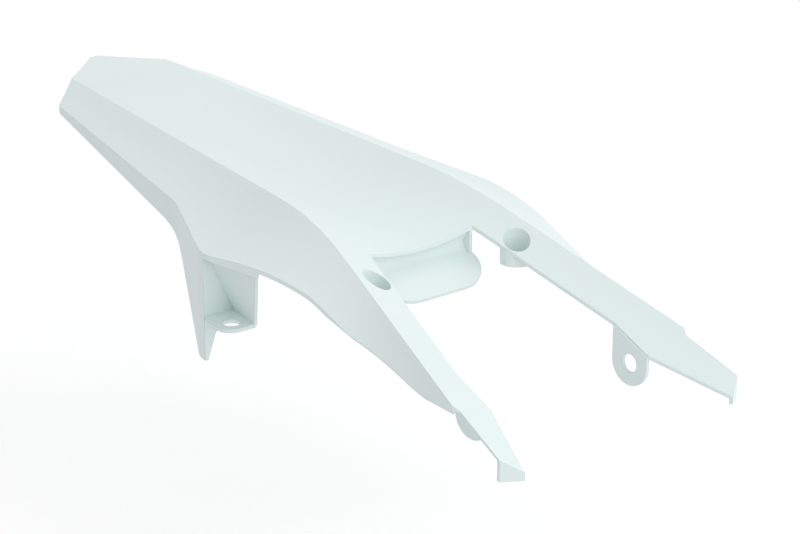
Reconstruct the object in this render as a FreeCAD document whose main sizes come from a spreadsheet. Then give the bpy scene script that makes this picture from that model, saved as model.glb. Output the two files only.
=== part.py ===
"""Motorcycle rear fender: one thin-walled plastic moulding, in millimetres.

X points forward along the machine, Y to its left, Z up. The sizes are measured from the middle
plane, level with the bolt shelf of the right leg and abreast of its bolt. The finished part's origin
is midway between the two cup bolts, on the floors of the cups.
"""
import FreeCAD
import Part
import Sketcher
import math
import os
import re

from FreeCAD import Placement, Rotation, Vector

doc = FreeCAD.newDocument("rear_fender")

# Driving sizes: millimetres, and degrees where the name says angle
SIZES = [
    ("wall", 2.8),
    # Ridge lines: a straight tail and straight arms that meet in a soft knee
    ("knee_x", 24.0),
    ("knee_blend", 42.0),
    ("ridge_half", 70.0),
    ("ridge_height", 70.4),
    ("tail_taper_angle", 4.1),
    ("tail_rise_angle", 5.2),
    ("arm_spread_angle", 12.0),
    ("arm_drop_angle", 21.4),
    # Trough between the ridges, and hollow wings outside them
    ("trough_start_x", -253.0),
    ("trough_angle", 2.85),
    ("wing_angle", 21.7),
    ("wing_turn_x", 44.0),
    ("wing_tip_angle", 73.6),
    ("wing_hollow_radius", 175.0),
    # Plan outline
    ("tail_point_x", -346.0),
    ("tail_point_radius", 9.0),
    ("tail_corner_x", -286.0),
    ("tail_corner_half", 74.5),
    ("tail_corner_radius", 5.0),
    ("wing_bend_x", -90.0),
    ("wing_bend_half", 107.0),
    ("wing_bend_radius", 60.0),
    ("leg_front_x", -22.0),
    ("leg_half", 136.0),
    ("leg_round", 30.0),
    ("pocket_front_x", 28.0),
    ("pocket_front_half", 124.0),
    ("waist_x", 72.0),
    ("waist_half", 115.0),
    ("notch_x", 211.0),
    ("notch_half", 109.5),
    ("notch_step", 2.6),
    ("notch_length", 4.0),
    ("tip_x", 259.0),
    ("tip_half", 112.5),
    ("tip_inner_x", 268.0),
    ("tip_inner_half", 98.4),
    ("mouth_x", 57.0),
    ("mouth_half", 48.8),
    # Skirt, leg and pocket rim, seen from the side
    ("skirt_tail_height", 82.5),
    ("leg_head_height", 41.8),
    ("leg_head_width", 66.6),
    ("leg_bend_radius", 60.0),
    ("leg_tip_height", -33.0),
    ("leg_tip_width", 12.0),
    ("rim_rear_height", 43.5),
    ("rim_front_height", 39.0),
    # Sill below the arm's wing, seen from the side
    ("sill_rear_height", 42.0),
    ("sill_turn_x", 44.0),
    ("sill_turn_height", 40.6),
    ("sill_end_x", 185.0),
    ("sill_end_height", -5.7),
    ("sill_round", 40.0),
    # Bolt pocket between the leg and the wing
    ("bolt_half", 127.0),
    ("bolt_hole_radius", 6.7),
    ("shelf_reach", 12.5),
    ("shelf_front_x", 12.5),
    ("shelf_round", 10.0),
    ("web_foot_rear_inset", 19.0),
    ("web_foot_front_inset", 10.0),
    ("web_head_height", 46.0),
    ("spur_inset", 11.5),
    ("spur_height", -14.0),
    # Ears under the arms
    ("ear_x", 193.2),
    ("ear_half", 73.2),
    ("ear_height", -25.0),
    ("ear_radius", 16.5),
    ("ear_hole_radius", 6.9),
    # Cups in the arms
    ("cup_x", 85.0),
    ("cup_half", 66.3),
    ("cup_radius", 11.9),
    ("cup_bore_radius", 9.9),
    ("cup_depth", 17.0),
    ("cup_bolt_radius", 3.5),
    # Scoop below the front edge of the trough
    ("scoop_drop", 15.0),
    ("scoop_recess", 9.0),
    ("scoop_fold_height", 32.0),
    ("scoop_fold_radius", 7.0),
    ("scoop_nose_reach", 11.0),
    ("scoop_nose_height", 23.0),
    ("scoop_nose_radius", 40.0),
    ("scoop_lip_reach", 25.5),
    ("scoop_lip_height", 14.5),
    ("scoop_lip_round", 27.0),
    # Hooks at the arm tips
    ("hook_height", -40.0),
]

sheet = doc.addObject("Spreadsheet::Sheet", "sizes")
for row, (alias, value) in enumerate(SIZES, start=1):
    sheet.set("A%d" % row, alias)
    sheet.set("B%d" % row, str(value))
    sheet.setAlias("B%d" % row, alias)
doc.recompute()


def bound(formula):
    """A formula of size names, written so that it reads them from the sheet."""
    names = "|".join(alias for alias, value in SIZES)
    return re.sub(r"\b(%s)\b" % names, r"sizes.\1", formula)


def worked(formula):
    """The value of a formula of size names."""
    return float(sheet.evalExpression(bound(formula)))


def slope(angle_name):
    """The rise per millimetre of an angle in the sheet."""
    return math.tan(math.radians(worked(angle_name)))


# Room past the outline on every side, for what is trimmed later
SPARE = worked("6 * wall")
SPAN = worked("leg_half") + SPARE

# Plan outline of the whole moulding, left half: tail, wing, leg, arm and the mouth between the arms
PLAN = {
    "tail_point": ("tail_point_x", "0"),
    "tail_corner": ("tail_corner_x", "tail_corner_half"),
    "wing_bend": ("wing_bend_x", "wing_bend_half"),
    "leg_front": ("leg_front_x", "leg_half"),
    "pocket_front": ("pocket_front_x", "pocket_front_half"),
    "waist": ("waist_x", "waist_half"),
    "notch": ("notch_x", "notch_half"),
    "notch_end": ("notch_x + notch_length", "notch_half - notch_step"),
    "tip": ("tip_x", "tip_half"),
    "tip_inner": ("tip_inner_x", "tip_inner_half"),
    "ear_front": ("ear_x + ear_radius", "ear_half + wall / 2"),
    "ear_rear": ("ear_x - ear_radius", "ear_half + wall / 2"),
    "mouth": ("mouth_x", "mouth_half"),
}
PLAN_ROUNDS = {
    "tail_point": "tail_point_radius",
    "tail_corner": "tail_corner_radius",
    "wing_bend": "wing_bend_radius",
    "leg_front": "leg_round",
    "waist": "wing_bend_radius",
}


def knee(x, at_knee, tail_slope, arm_slope):
    """A line of one slope along the tail and another along the arms, joined by a parabola."""
    run = x - worked("knee_x")
    blend = worked("knee_blend")
    if run < -blend:
        return at_knee + tail_slope * run
    if run > blend:
        return at_knee + arm_slope * run
    mean = (tail_slope + arm_slope) / 2
    curve = (arm_slope - tail_slope) / (4 * blend)
    return at_knee + mean * run + curve * (run * run + blend * blend)


def outline_half(x):
    """Half width of the plan outline at x, from the tail to the notch."""
    names = ("tail_corner", "wing_bend", "leg_front", "pocket_front", "waist", "notch")
    corners = [(worked(PLAN[name][0]), worked(PLAN[name][1])) for name in names]
    for (start_x, start_half), (end_x, end_half) in zip(corners, corners[1:]):
        if x < end_x:
            return start_half + (end_half - start_half) * (x - start_x) / (end_x - start_x)
    return corners[-1][1]


def section_sizes(x):
    """Ridge half width, ridge height, trough depth and wing slope of the section at x."""
    half = knee(x, worked("ridge_half"), slope("tail_taper_angle"), slope("arm_spread_angle"))
    height = knee(x, worked("ridge_height"), -slope("tail_rise_angle"), -slope("arm_drop_angle"))
    shallowest = worked("wall / 8")
    trough = max(shallowest, slope("trough_angle") * (x - worked("trough_start_x")))
    turn = max(0.0, (x - worked("wing_turn_x")) / worked("tip_x - wing_turn_x"))
    wing = slope("wing_angle") + (slope("wing_tip_angle") - slope("wing_angle")) * turn * turn
    return half, height, trough, wing


def top_height(x, y):
    """Height of the top face between the ridges."""
    half, height, trough, wing = section_sizes(x)
    radius = (half * half + trough * trough) / (2 * trough)
    return height - trough + radius - math.sqrt(radius * radius - y * y)


def hollow_wing(x, drop, thickness):
    """Ridge end, middle and rim end of the hollow left wing, set below the top face."""
    half, height, trough, wing = section_sizes(x)
    chord_angle = math.atan(wing)
    chord = max(worked("2 * wall"), outline_half(x) - half) / math.cos(chord_angle)
    radius = worked("wing_hollow_radius")
    angle = chord_angle + math.asin(chord / (2 * radius))
    centre_half = half + radius * math.sin(angle)
    centre_height = height + radius * math.cos(angle) - drop + thickness
    ridge = half - thickness * math.tan(angle / 2)
    points = [Vector(x, ridge, height - drop)]
    for w in ((ridge + SPAN) / 2, SPAN):
        dip = math.sqrt((radius + thickness) ** 2 - (w - centre_half) ** 2)
        points.append(Vector(x, w, centre_height - dip))
    return points


def top_edges(x, drop, thickness):
    """The upper line of a section: wing, trough arc, wing, all set below the top face."""
    left = hollow_wing(x, drop, thickness)
    right = [Vector(x, -point.y, point.z) for point in reversed(left)]
    middle = Vector(x, 0, left[0].z - section_sizes(x)[2])
    return [
        Part.Arc(*right).toShape(),
        Part.Arc(right[-1], middle, left[0]).toShape(),
        Part.Arc(*left).toShape(),
    ]


def closed(upper, *points):
    """A closed wire of a section's upper line and the points that lead back to its start."""
    start = upper[0].Vertexes[0].Point
    stops = [upper[-1].Vertexes[-1].Point] + list(points) + [start]
    returns = [Part.LineSegment(a, b).toShape() for a, b in zip(stops, stops[1:])]
    return Part.Wire(Part.__sortEdges__(upper + returns))


def skin_section(x):
    """Closed thin section of the fender's top wall."""
    upper = top_edges(x, 0, 0)
    lower = top_edges(x, worked("wall"), worked("wall"))
    joins = [
        Part.LineSegment(upper[side].Vertexes[side].Point, lower[side].Vertexes[side].Point).toShape()
        for side in (0, -1)
    ]
    return Part.Wire(Part.__sortEdges__(upper + lower + joins))


def room_section(x):
    """Closed section of the room below the middle of the top wall."""
    floor = worked("hook_height") - 3 * SPAN
    return closed(top_edges(x, worked("wall / 2"), 0), Vector(x, SPAN, floor), Vector(x, -SPAN, floor))


def stations():
    """Section places: along the tail, closer round the knee, and along the arms."""
    knee_start = worked("knee_x - knee_blend")
    knee_end = worked("knee_x + knee_blend")
    arm_end = worked("tip_inner_x") + SPARE
    spans = [
        (worked("tail_point_x") - SPARE, knee_start, 8),
        (knee_start, knee_end, 4),
        (knee_end, arm_end, 6),
    ]
    places = [start + (end - start) * step / count for start, end, count in spans for step in range(count)]
    return places + [arm_end]


def lofted(name, section):
    """A smooth loft through the sections at all stations."""
    feature = doc.addObject("Part::Feature", name)
    feature.Shape = Part.makeLoft([section(x) for x in stations()], True, False)
    return feature


def origin_plane(body, role):
    """One of a body's own origin planes."""
    return next(plane for plane in body.Origin.OriginFeatures if plane.Role == role)


def pin(sketch, kind, line, formula):
    """Hold the start of a line at a signed distance from the sketch origin."""
    value = worked(formula)
    if value == 0:
        axis = -2 if kind == "DistanceX" else -1
        sketch.addConstraint(Sketcher.Constraint("PointOnObject", line, 1, axis))
        return
    index = sketch.addConstraint(Sketcher.Constraint(kind, -1, 1, line, 1, value))
    sketch.setExpression("Constraints[%d]" % index, bound(formula))


def attached(body, name, role, level="0"):
    """An empty sketch on one of the body's origin planes, or on a level beside it."""
    sketch = body.newObject("Sketcher::SketchObject", name)
    sketch.AttachmentSupport = (origin_plane(body, role), [""])
    sketch.MapMode = "FlatFace"
    sketch.setExpression("AttachmentOffset.Base.z", bound(level))
    return sketch


def profile(body, name, role, corners, level="0"):
    """A closed sketch of straight lines. Corners are pairs of formulas along the plane's own axes."""
    sketch = attached(body, name, role, level)
    places = [Vector(worked(across), worked(up), 0) for across, up in corners]
    for start, end in zip(places, places[1:] + places[:1]):
        sketch.addGeometry(Part.LineSegment(start, end), False)
    for line, (across, up) in enumerate(corners):
        before = (line - 1) % len(corners)
        sketch.addConstraint(Sketcher.Constraint("Coincident", before, 2, line, 1))
        pin(sketch, "DistanceX", line, across)
        pin(sketch, "DistanceY", line, up)
    return sketch


def padded(name, role, corners, length, symmetric=False, level="0", reverse=False):
    """A body with one straight-sided profile, padded."""
    body = doc.addObject("PartDesign::Body", name)
    pad = body.newObject("PartDesign::Pad", name + "_pad")
    pad.Profile = profile(body, name + "_profile", role, corners, level)
    pad.setExpression("Length", bound(length))
    pad.Midplane = symmetric
    pad.Reversed = reverse
    body.Tip = pad
    doc.recompute()
    return body


def rounded(body, name, places, radius):
    """Round the body's edges that run through the given points."""
    base = body.Tip
    chosen = [
        "Edge%d" % index
        for index, edge in enumerate(base.Shape.Edges, start=1)
        if any(edge.distToShape(Part.Vertex(place))[0] < worked("wall / 100") for place in places)
    ]
    fillet = body.newObject("PartDesign::Fillet", name)
    fillet.Base = (base, chosen)
    fillet.setExpression("Radius", bound(radius))
    body.Tip = fillet
    doc.recompute()


def drum(name, radius, height, place, axis):
    """A cylinder of a bound size that starts at a place and runs along an axis."""
    cylinder = doc.addObject("Part::Cylinder", name)
    cylinder.setExpression("Radius", bound(radius))
    cylinder.setExpression("Height", bound(height))
    cylinder.Placement = Placement(place, Rotation(Vector(0, 0, 1), axis))
    return cylinder


def fused(name, pieces):
    """Several pieces as one."""
    fusion = doc.addObject("Part::MultiFuse", name)
    fusion.Shapes = pieces
    return fusion


def shared(name, pieces):
    """What several pieces have in common."""
    common = doc.addObject("Part::MultiCommon", name)
    common.Shapes = pieces
    return common


def other_side(name, piece):
    """The piece as seen in the middle plane."""
    mirror = doc.addObject("Part::Mirroring", name)
    mirror.Source = piece
    mirror.Normal = Vector(0, 1, 0)
    return mirror


def make_plan():
    """The outline, padded through the full height, with its corners rounded."""
    left = list(PLAN.values())
    right = [(across, "-(%s)" % up) for across, up in reversed(left[1:])]
    body = padded("plan_outline", "XY_Plane", left + right, "12 * leg_half", symmetric=True)
    for corner, radius in PLAN_ROUNDS.items():
        across, up = PLAN[corner]
        places = [Vector(worked(across), turn * worked(up), 0) for turn in (1, -1)]
        rounded(body, corner + "_round", places, radius)
    return body


def make_skirt(plan):
    """The walls that hang from the wings' rims: the right one runs down into the leg."""
    foot = min(plan.Shape.Faces, key=lambda face: face.CenterOfMass.z)
    rim = doc.addObject("Part::Feature", "rim_wall")
    inner = foot.makeOffset2D(-worked("wall"))
    rim.Shape = foot.cut(inner).extrude(Vector(0, 0, worked("12 * leg_half")))
    rear = [
        ("tail_corner_x", "3 * leg_half"),
        ("tail_corner_x", "skirt_tail_height"),
        ("leg_front_x - leg_head_width", "leg_head_height"),
    ]
    leg = [
        ("leg_front_x - leg_tip_width", "leg_tip_height"),
        ("leg_front_x", "leg_tip_height"),
        ("leg_front_x", "rim_rear_height"),
    ]
    front = [
        ("pocket_front_x - wall", "rim_front_height"),
        ("pocket_front_x - wall", "3 * leg_half"),
    ]
    right = padded("right_side", "XZ_Plane", rear + leg + front, "2 * leg_half")
    bend = Vector(worked("leg_front_x - leg_head_width"), -worked("leg_half"), worked("leg_head_height"))
    rounded(right, "leg_bend_round", [bend], "leg_bend_radius")
    left = padded("left_side", "XZ_Plane", rear + front, "2 * leg_half", reverse=True)
    return [shared("right_skirt", [rim, right]), shared("left_skirt", [rim, left])]


def make_sill():
    """What is trimmed from below the left arm's wing, so that its edge follows the sill line."""
    foot = "hook_height - leg_half"
    corners = [
        ("pocket_front_x", foot),
        ("notch_x", foot),
        ("notch_x", "sill_end_height - wall"),
        ("sill_end_x", "sill_end_height"),
        ("sill_turn_x", "sill_turn_height"),
        ("pocket_front_x", "sill_rear_height"),
    ]
    body = padded("sill_trim", "XZ_Plane", corners, "leg_half", level="2 * wall - notch_half", reverse=True)
    for name, (across, up) in (("sill_turn_round", corners[4]), ("sill_end_round", corners[3])):
        place = Vector(worked(across), worked("notch_half"), worked(up))
        rounded(body, name, [place], "sill_round")
    return body


def make_leg_plate():
    """The plate that stiffens the leg's front edge and tapers to the leg's tip."""
    corners = [
        ("leg_half - wall", "web_head_height"),
        ("leg_half - 2.5 * wall", "web_head_height"),
        ("bolt_half - web_foot_rear_inset - wall / 2", "-wall"),
        ("leg_half - spur_inset", "spur_height"),
        ("leg_half - 1.5 * wall", "leg_tip_height"),
        ("leg_half - wall", "leg_tip_height"),
    ]
    return padded("leg_plate", "YZ_Plane", corners, "wall", level="leg_front_x", reverse=True)


def make_web():
    """The pocket's inner wall, which leans in from the wing's rim to the bolt shelf."""
    body = doc.addObject("PartDesign::Body", "pocket_web")
    rear = "leg_front_x - wall / 2"
    front = "pocket_front_x - 2 * wall"
    foot = [
        (rear, "bolt_half - web_foot_rear_inset"),
        ("shelf_front_x", "bolt_half - web_foot_front_inset"),
        ("shelf_front_x", "bolt_half - web_foot_front_inset - wall"),
        (rear, "bolt_half - web_foot_rear_inset - wall"),
    ]
    head = [
        (rear, "leg_half - 2 * wall"),
        (front, "pocket_front_half - wall / 2"),
        (front, "pocket_front_half - 1.5 * wall"),
        (rear, "leg_half - 3 * wall"),
    ]
    loft = body.newObject("PartDesign::AdditiveLoft", "pocket_web_loft")
    loft.Profile = profile(body, "web_foot", "XY_Plane", foot, "-wall / 2")
    loft.Sections = [profile(body, "web_head", "XY_Plane", head, "web_head_height")]
    loft.Ruled = True
    body.Tip = loft
    doc.recompute()
    return body


def make_shelf():
    """The bolt shelf at the foot of the pocket."""
    rim = "bolt_half + shelf_reach"
    corners = [
        ("leg_front_x - wall / 2", "bolt_half - web_foot_rear_inset - wall / 2"),
        ("leg_front_x - wall / 2", "leg_half - wall"),
        ("-shelf_reach", rim),
        ("shelf_reach", rim),
        ("shelf_front_x", "bolt_half - web_foot_front_inset + wall"),
        ("shelf_front_x", "bolt_half - web_foot_front_inset - wall / 2"),
    ]
    body = padded("bolt_shelf", "XY_Plane", corners, "wall", reverse=True)
    places = [Vector(turn * worked("shelf_reach"), worked(rim), -worked("wall / 2")) for turn in (1, -1)]
    rounded(body, "shelf_rim_round", places, "shelf_round")
    return body


def make_ear():
    """The flat ear that hangs from the arm's inner edge."""
    corners = [
        ("ear_x - ear_radius", "ear_height"),
        ("ear_x + ear_radius", "ear_height"),
        ("ear_x + ear_radius", "2 * ear_radius"),
        ("ear_x - ear_radius", "2 * ear_radius"),
    ]
    strap = padded("ear_strap", "XZ_Plane", corners, "wall", level="-ear_half", reverse=True)
    place = Vector(worked("ear_x"), worked("ear_half"), worked("ear_height"))
    end = drum("ear_end", "ear_radius", "wall", place, Vector(0, 1, 0))
    return fused("ear", [strap, end])


def cup_place(above):
    """A point on the cup's upright middle line, a distance above its foot."""
    x = worked("cup_x")
    y = worked("cup_half")
    return Vector(x, y, top_height(x, y) - worked("cup_depth") + worked(above))


def make_hook():
    """The lip that turns down at the end of the arm."""
    corners = [
        ("tip_x", "tip_half"),
        ("tip_inner_x", "tip_inner_half"),
        ("tip_inner_x - wall", "tip_inner_half - wall / 4"),
        ("tip_x - wall", "tip_half - wall / 4"),
    ]
    return padded("tip_hook", "XY_Plane", corners, "-2 * hook_height", level="hook_height")


def behind(places):
    """Points one wall behind a bent line: level with its start and square to its end."""
    runs = [(end - start).normalize() for start, end in zip(places, places[1:])]
    shifts = [Vector(run.y, -run.x, 0) * worked("wall") for run in runs]
    points = [places[0] + shifts[0] - runs[0] * (shifts[0].y / runs[0].y)]
    for place, before, after in zip(places[1:], shifts, shifts[1:]):
        points.append(place + (before + after) / (1 + before.dot(after) / before.dot(before)))
    return points + [places[-1] + shifts[-1]]


def strip_profile(body, name, role, corners):
    """A closed sketch of a bent strip: its front runs through the corners, its back a wall behind."""
    sketch = attached(body, name, role)
    front = [Vector(worked(across), worked(up), 0) for across, up in corners]
    loop = front + behind(front)[::-1]
    for start, end in zip(loop, loop[1:] + loop[:1]):
        sketch.addGeometry(Part.LineSegment(start, end), False)
    for line in range(len(loop)):
        sketch.addConstraint(Sketcher.Constraint("Coincident", (line - 1) % len(loop), 2, line, 1))
    for line, (across, up) in enumerate(corners):
        pin(sketch, "DistanceX", line, across)
        pin(sketch, "DistanceY", line, up)
    last = len(corners) - 1
    for line in range(last):
        back = 2 * last - line
        sketch.addConstraint(Sketcher.Constraint("Parallel", line, back))
        index = sketch.addConstraint(Sketcher.Constraint("Distance", back, 1, line, worked("wall")))
        sketch.setExpression("Constraints[%d]" % index, bound("wall"))
    sketch.addConstraint(Sketcher.Constraint("Perpendicular", last - 1, last))
    sketch.addConstraint(Sketcher.Constraint("Horizontal", 2 * last + 1))
    return sketch


def make_scoop():
    """The scoop below the trough's front edge: a wall that leans back, a floor and a turned-down lip."""
    corners = [
        ("mouth_x + scoop_recess", "scoop_fold_height + 2 * scoop_drop"),
        ("mouth_x - scoop_recess", "scoop_fold_height"),
        ("mouth_x + scoop_nose_reach", "scoop_nose_height"),
        ("mouth_x + scoop_lip_reach", "scoop_lip_height"),
    ]
    body = doc.addObject("PartDesign::Body", "scoop")
    pad = body.newObject("PartDesign::Pad", "scoop_pad")
    pad.Profile = strip_profile(body, "scoop_profile", "XZ_Plane", corners)
    pad.setExpression("Length", bound("2 * mouth_half"))
    pad.Midplane = True
    body.Tip = pad
    doc.recompute()
    front = [Vector(worked(across), worked(up), 0) for across, up in corners]
    back = behind(front)
    lip = (front[3] + back[3]) / 2
    ends = [Vector(lip.x, turn * worked("mouth_half"), lip.y) for turn in (1, -1)]
    rounded(body, "scoop_lip_ends", ends, "scoop_lip_round")
    for name, bend, radius in (
        ("scoop_fold_front", front[1], "scoop_fold_radius"),
        ("scoop_fold_back", back[1], "scoop_fold_radius + wall"),
        ("scoop_nose_front", front[2], "scoop_nose_radius + wall"),
        ("scoop_nose_back", back[2], "scoop_nose_radius"),
    ):
        rounded(body, name, [Vector(bend.x, 0, bend.y)], radius)
    return body


def make_cheek():
    """The wall that closes the scoop's left end, between its leaning wall, its floor and its mouth."""
    fall = "(scoop_fold_height - scoop_nose_height) * scoop_recess / (scoop_recess + scoop_nose_reach)"
    fold = ("mouth_x - scoop_recess - wall / 2", "scoop_fold_height - wall / 2")
    corners = [
        ("mouth_x", "scoop_fold_height - wall / 2 - " + fall),
        ("mouth_x", "scoop_fold_height + scoop_drop + wall"),
        fold,
    ]
    body = padded("scoop_cheek", "XZ_Plane", corners, "wall", level="wall - mouth_half", reverse=True)
    place = Vector(worked(fold[0]), worked("mouth_half - wall / 2"), worked(fold[1]))
    rounded(body, "cheek_fold", [place], "scoop_fold_radius")
    return body


def make_leg():
    """The brackets of the right leg, made on the left and seen in the middle plane."""
    pieces = fused("leg_brackets", [make_leg_plate(), make_web(), make_shelf()])
    return other_side("right_leg_brackets", pieces)


def make_bores():
    """What is cut through each half alike: ear bolt, cup and cup bolt."""
    up = Vector(0, 0, 1)
    ear_start = Vector(worked("ear_x"), worked("ear_half - wall"), worked("ear_height"))
    return [
        drum("ear_bolt_hole", "ear_hole_radius", "3 * wall", ear_start, Vector(0, 1, 0)),
        drum("cup_bore", "cup_bore_radius", "2 * cup_depth", cup_place("wall"), up),
        drum("cup_bolt_hole", "cup_bolt_radius", "2 * cup_depth", cup_place("-wall"), up),
    ]


top_wall = lofted("top_wall", skin_section)
room = lofted("room_below_top_wall", room_section)
plan = make_plan()
cup = drum("cup", "cup_radius", "cup_depth + cup_radius", cup_place("0"), Vector(0, 0, 1))
left = fused("left_brackets", [make_ear(), make_hook(), cup, make_cheek()])
right = other_side("right_brackets", left)
hanging = fused("hanging_walls", [left, right, make_leg(), make_scoop()] + make_skirt(plan))
doc.recompute()
under = shared("walls_below", [hanging, room])
whole_top = shared("whole_top", [top_wall, plan])
left_sill = make_sill()
top = doc.addObject("Part::Cut", "top")
top.Base = whole_top
top.Tool = fused("sill_trims", [left_sill, other_side("right_sill_trim", left_sill)])
moulding = fused("moulding", [top, under])
left_bores = fused("left_bores", make_bores())
leg_start = Vector(0, -worked("bolt_half"), -worked("2 * wall"))
leg_bore = drum("leg_bolt_hole", "bolt_hole_radius", "4 * wall", leg_start, Vector(0, 0, 1))
bores = fused("bores", [left_bores, other_side("right_bores", left_bores), leg_bore])
fender = doc.addObject("Part::Cut", "fender")
fender.Base = moulding
fender.Tool = bores
fender.Refine = True
fender.Label = "rear_fender"
cup_floor = cup_place("wall")
fender.Placement = Placement(Vector(-cup_floor.x, 0, -cup_floor.z), Rotation())
doc.recompute()

for item in doc.Objects:
    if "Invalid" in item.State or "Error" in item.State:
        raise RuntimeError("%s failed" % item.Name)
shape = fender.Shape
if shape.isNull() or not shape.isValid() or len(shape.Solids) != 1:
    raise RuntimeError("the fender is not one sound solid: %d solids" % len(shape.Solids))

os.makedirs("parts", exist_ok=True)
shape.exportStep("parts/%s.step" % fender.Label)
print("%s: %.0f mm3" % (fender.Label, shape.Volume), shape.BoundBox)
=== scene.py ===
"""Studio picture of a white moulded motorcycle rear fender, in metres."""

import bpy
from mathutils import Matrix, Vector


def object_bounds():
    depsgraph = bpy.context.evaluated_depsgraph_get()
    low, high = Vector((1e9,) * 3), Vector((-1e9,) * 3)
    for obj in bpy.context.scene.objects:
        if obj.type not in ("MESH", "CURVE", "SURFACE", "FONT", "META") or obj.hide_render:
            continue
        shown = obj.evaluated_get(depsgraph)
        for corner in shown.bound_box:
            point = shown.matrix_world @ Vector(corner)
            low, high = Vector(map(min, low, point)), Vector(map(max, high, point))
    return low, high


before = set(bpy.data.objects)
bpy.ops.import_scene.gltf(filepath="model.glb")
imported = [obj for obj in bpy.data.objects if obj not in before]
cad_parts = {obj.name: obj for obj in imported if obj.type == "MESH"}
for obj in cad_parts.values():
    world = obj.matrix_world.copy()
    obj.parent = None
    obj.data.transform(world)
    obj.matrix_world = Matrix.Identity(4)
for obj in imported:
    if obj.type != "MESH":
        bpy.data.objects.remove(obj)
cad_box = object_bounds()
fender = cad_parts["rear_fender"]

# Camera: the photograph's place, looking 19 degrees down, with lens and sensor in millimetres
CAMERA_PLACE = Vector((1.2802, -1.1613, 0.60495))
CAMERA_RIGHT = Vector((0.6573, 0.7536, 0.0))
CAMERA_BACK = Vector((0.7124, -0.6213, 0.3262))
CAMERA_LENS = 117.0
CAMERA_SENSOR = 36.0

# Floor: near the part it is partly glow and partly lit surface, and further off it is all glow
WHITE = (1.0, 1.0, 1.0, 1.0)
FLOOR_DEPTH = 0.10
FLOOR_SIZE = 12.0
FLOOR_TONE = 0.9
FLOOR_NEAR = 0.35
FLOOR_NEAR_GLOW = 0.57
FLOOR_NEAR_TONE = 0.5
FLOOR_FAR = 1.3

# Light: an even surround, and soft boxes given by the way from the part to each and its watts
WORLD_LIGHT = 0.65
LAMP_TARGET = Vector((-0.12, 0.0, 0.02))
LAMP_DISTANCE = 2.6
LAMP_SIZE = 2.4
LAMPS = {
    "left_key": ((0.10, 0.72, 0.69), 20.4),
    "front_fill": ((0.94, 0.0, 0.34), 18.0),
    "back_fill": ((-0.87, 0.0, 0.50), 4.8),
}

# Plastic: flow shading between two tints, a cloudy gloss, orange peel, and grain on the underside
FLOW = {"Scale": 9.0, "Detail": 3.0, "Roughness": 0.5}
FLOW_TINTS = ((0.764, 0.868, 0.850, 1.0), (0.800, 0.890, 0.876, 1.0))
CLOUD = {"Scale": 140.0, "Detail": 4.0, "Roughness": 0.6}
TOP_ROUGHNESS = (0.42, 0.54)
UNDER_ROUGHNESS = 0.58
PEEL = {"Scale": 420.0, "Detail": 2.0, "Roughness": 0.5}
PEEL_STRENGTH = 0.10
PEEL_HEIGHT = 0.00012
GRAIN_SCALE = 1500.0
GRAIN_STRENGTH = 0.25
GRAIN_HEIGHT = 0.0001
# Upward part of the normal where the underside's finish starts, and where it is complete
UNDER_START = 0.05
UNDER_FULL = -0.25
EDGE_ROUND = 0.0007
EDGE_SAMPLES = 6
PLASTIC_IOR = 1.49
PLASTIC_SPECULAR = 0.25


class Tree:
    """A short way to add shader nodes and join them."""

    def __init__(self, owner):
        """The node tree of a material or world, cleared."""
        owner.use_nodes = True
        self.tree = owner.node_tree
        self.tree.nodes.clear()

    def add(self, kind, inputs=None, **settings):
        """A node with its properties set, and its inputs set or joined by name or number."""
        node = self.tree.nodes.new(kind)
        for name, value in settings.items():
            setattr(node, name, value)
        for name, value in (inputs or {}).items():
            self.give(node.inputs[name], value)
        return node

    def give(self, socket, value):
        """Set a socket, or join it to another node's output."""
        if isinstance(value, bpy.types.NodeSocket):
            self.tree.links.new(value, socket)
        else:
            socket.default_value = value

    def spread(self, factor, low, high):
        """A factor from 0 to 1 turned into a range."""
        inputs = {"Value": factor, "To Min": low, "To Max": high}
        return self.add("ShaderNodeMapRange", inputs).outputs["Result"]

    def mixed(self, kind, factor, first, second):
        """Two values or colours mixed by a factor."""
        inputs = {"Factor": factor, "A": first, "B": second}
        return self.add("ShaderNodeMix", inputs, data_type=kind).outputs["Result"]

    def reckoned(self, operation, first, second):
        """One number worked out from two."""
        return self.add("ShaderNodeMath", {0: first, 1: second}, operation=operation).outputs["Value"]

    def place(self):
        """The place on the surface, in the object's own metres."""
        return self.add("ShaderNodeTexCoord").outputs["Object"]

    def noise(self, pattern):
        """A cloudy pattern over the surface, from 0 to 1."""
        return self.add("ShaderNodeTexNoise", {"Vector": self.place(), **pattern}).outputs["Fac"]

    def bump(self, strength, distance, height, normal):
        """A normal tilted by a height pattern."""
        inputs = {"Strength": strength, "Distance": distance, "Height": height, "Normal": normal}
        return self.add("ShaderNodeBump", inputs).outputs["Normal"]

    def seen_rays(self):
        """1 for rays that look at the white surround, directly or in gloss or glass, and 0 for its light."""
        path = self.add("ShaderNodeLightPath")
        seen = path.outputs["Is Camera Ray"]
        for kind in ("Is Glossy Ray", "Is Transmission Ray"):
            seen = self.reckoned("MAXIMUM", seen, path.outputs[kind])
        return seen


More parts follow.
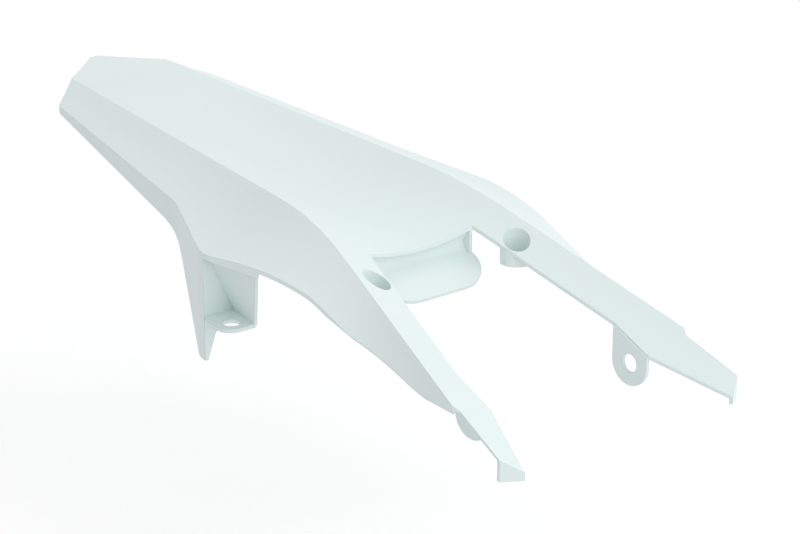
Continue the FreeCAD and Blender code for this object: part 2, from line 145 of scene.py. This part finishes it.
def white_plastic():
    """Satin white moulded plastic: faint flow shading, a fine orange peel, and a grained underside."""
    material = bpy.data.materials.new("white_plastic")
    tree = Tree(material)
    normal = tree.add("ShaderNodeNewGeometry").outputs["Normal"]
    upward = tree.add("ShaderNodeSeparateXYZ", {"Vector": normal}).outputs["Z"]
    under = tree.add(
        "ShaderNodeMapRange",
        {"Value": upward, "From Min": UNDER_START, "From Max": UNDER_FULL},
    ).outputs["Result"]
    tint = tree.mixed("RGBA", tree.noise(FLOW), *FLOW_TINTS)
    gloss = tree.spread(tree.noise(CLOUD), *TOP_ROUGHNESS)
    rough = tree.mixed("FLOAT", under, gloss, UNDER_ROUGHNESS)
    edge = tree.add("ShaderNodeBevel", {"Radius": EDGE_ROUND}, samples=EDGE_SAMPLES)
    peel = tree.bump(PEEL_STRENGTH, PEEL_HEIGHT, tree.noise(PEEL), edge.outputs["Normal"])
    cells = tree.add("ShaderNodeTexVoronoi", {"Vector": tree.place(), "Scale": GRAIN_SCALE})
    grain_strength = tree.spread(under, 0.0, GRAIN_STRENGTH)
    grain = tree.bump(grain_strength, GRAIN_HEIGHT, cells.outputs["Distance"], peel)
    shader = tree.add(
        "ShaderNodeBsdfPrincipled",
        {
            "Base Color": tint,
            "Roughness": rough,
            "IOR": PLASTIC_IOR,
            "Specular IOR Level": PLASTIC_SPECULAR,
            "Normal": grain,
        },
    )
    tree.add("ShaderNodeOutputMaterial", {"Surface": shader.outputs["BSDF"]})
    return material


def pale_floor():
    """A white floor that shows the part's faint shadow and fades to plain white around it."""
    material = bpy.data.materials.new("studio_floor")
    tree = Tree(material)
    seen = tree.seen_rays()
    distance = tree.add("ShaderNodeVectorMath", {0: tree.place()}, operation="LENGTH").outputs["Value"]
    fade = tree.add(
        "ShaderNodeMapRange",
        {"Value": distance, "From Min": FLOOR_NEAR, "From Max": FLOOR_FAR},
        interpolation_type="SMOOTHSTEP",
    ).outputs["Result"]
    glow = tree.reckoned("MULTIPLY", seen, tree.spread(fade, FLOOR_NEAR_GLOW, 1.0))
    tone = tree.mixed("FLOAT", seen, FLOOR_TONE, tree.spread(fade, FLOOR_NEAR_TONE, 0.0))
    lit = tree.add("ShaderNodeBsdfDiffuse", {"Color": tone})
    white = tree.add("ShaderNodeEmission", {"Color": WHITE, "Strength": glow})
    both = tree.add("ShaderNodeAddShader", {0: lit.outputs["BSDF"], 1: white.outputs["Emission"]})
    tree.add("ShaderNodeOutputMaterial", {"Surface": both.outputs["Shader"]})
    return material


def add_floor():
    """A wide floor below the part."""
    half = FLOOR_SIZE / 2
    level = cad_box[0].z - FLOOR_DEPTH
    mesh = bpy.data.meshes.new("studio_floor")
    corners = [(-half, -half, level), (half, -half, level), (half, half, level), (-half, half, level)]
    mesh.from_pydata(corners, [], [(0, 1, 2, 3)])
    floor = bpy.data.objects.new("studio_floor", mesh)
    floor.data.materials.append(pale_floor())
    bpy.context.scene.collection.objects.link(floor)


def set_world():
    """An even white surround: white where it is seen, softer as light."""
    world = bpy.data.worlds.new("studio")
    bpy.context.scene.world = world
    tree = Tree(world)
    strength = tree.spread(tree.seen_rays(), WORLD_LIGHT, 1.0)
    surround = tree.add("ShaderNodeBackground", {"Color": WHITE, "Strength": strength})
    tree.add("ShaderNodeOutputWorld", {"Surface": surround.outputs["Background"]})


def add_lamp(name, way, power):
    """A square soft box that faces the middle of the part."""
    lamp = bpy.data.lights.new(name, "AREA")
    lamp.size = LAMP_SIZE
    lamp.energy = power
    box = bpy.data.objects.new(name, lamp)
    out = Vector(way).normalized()
    box.location = LAMP_TARGET + LAMP_DISTANCE * out
    box.rotation_euler = (-out).to_track_quat("-Z", "Y").to_euler()
    bpy.context.scene.collection.objects.link(box)


def add_camera():
    """The camera at the photograph's viewing angle."""
    camera = bpy.data.cameras.new("photo_camera")
    camera.lens = CAMERA_LENS
    camera.sensor_width = CAMERA_SENSOR
    holder = bpy.data.objects.new("photo_camera", camera)
    up = CAMERA_BACK.cross(CAMERA_RIGHT)
    turn = Matrix((CAMERA_RIGHT, up, CAMERA_BACK)).transposed()
    holder.matrix_world = Matrix.Translation(CAMERA_PLACE) @ turn.to_4x4()
    bpy.context.scene.collection.objects.link(holder)
    bpy.context.scene.camera = holder


plastic = white_plastic()
for slot in fender.material_slots:
    slot.material = plastic
add_floor()
set_world()
for name, (way, power) in LAMPS.items():
    add_lamp(name, way, power)
add_camera()
bpy.context.scene.view_settings.view_transform = "Standard"
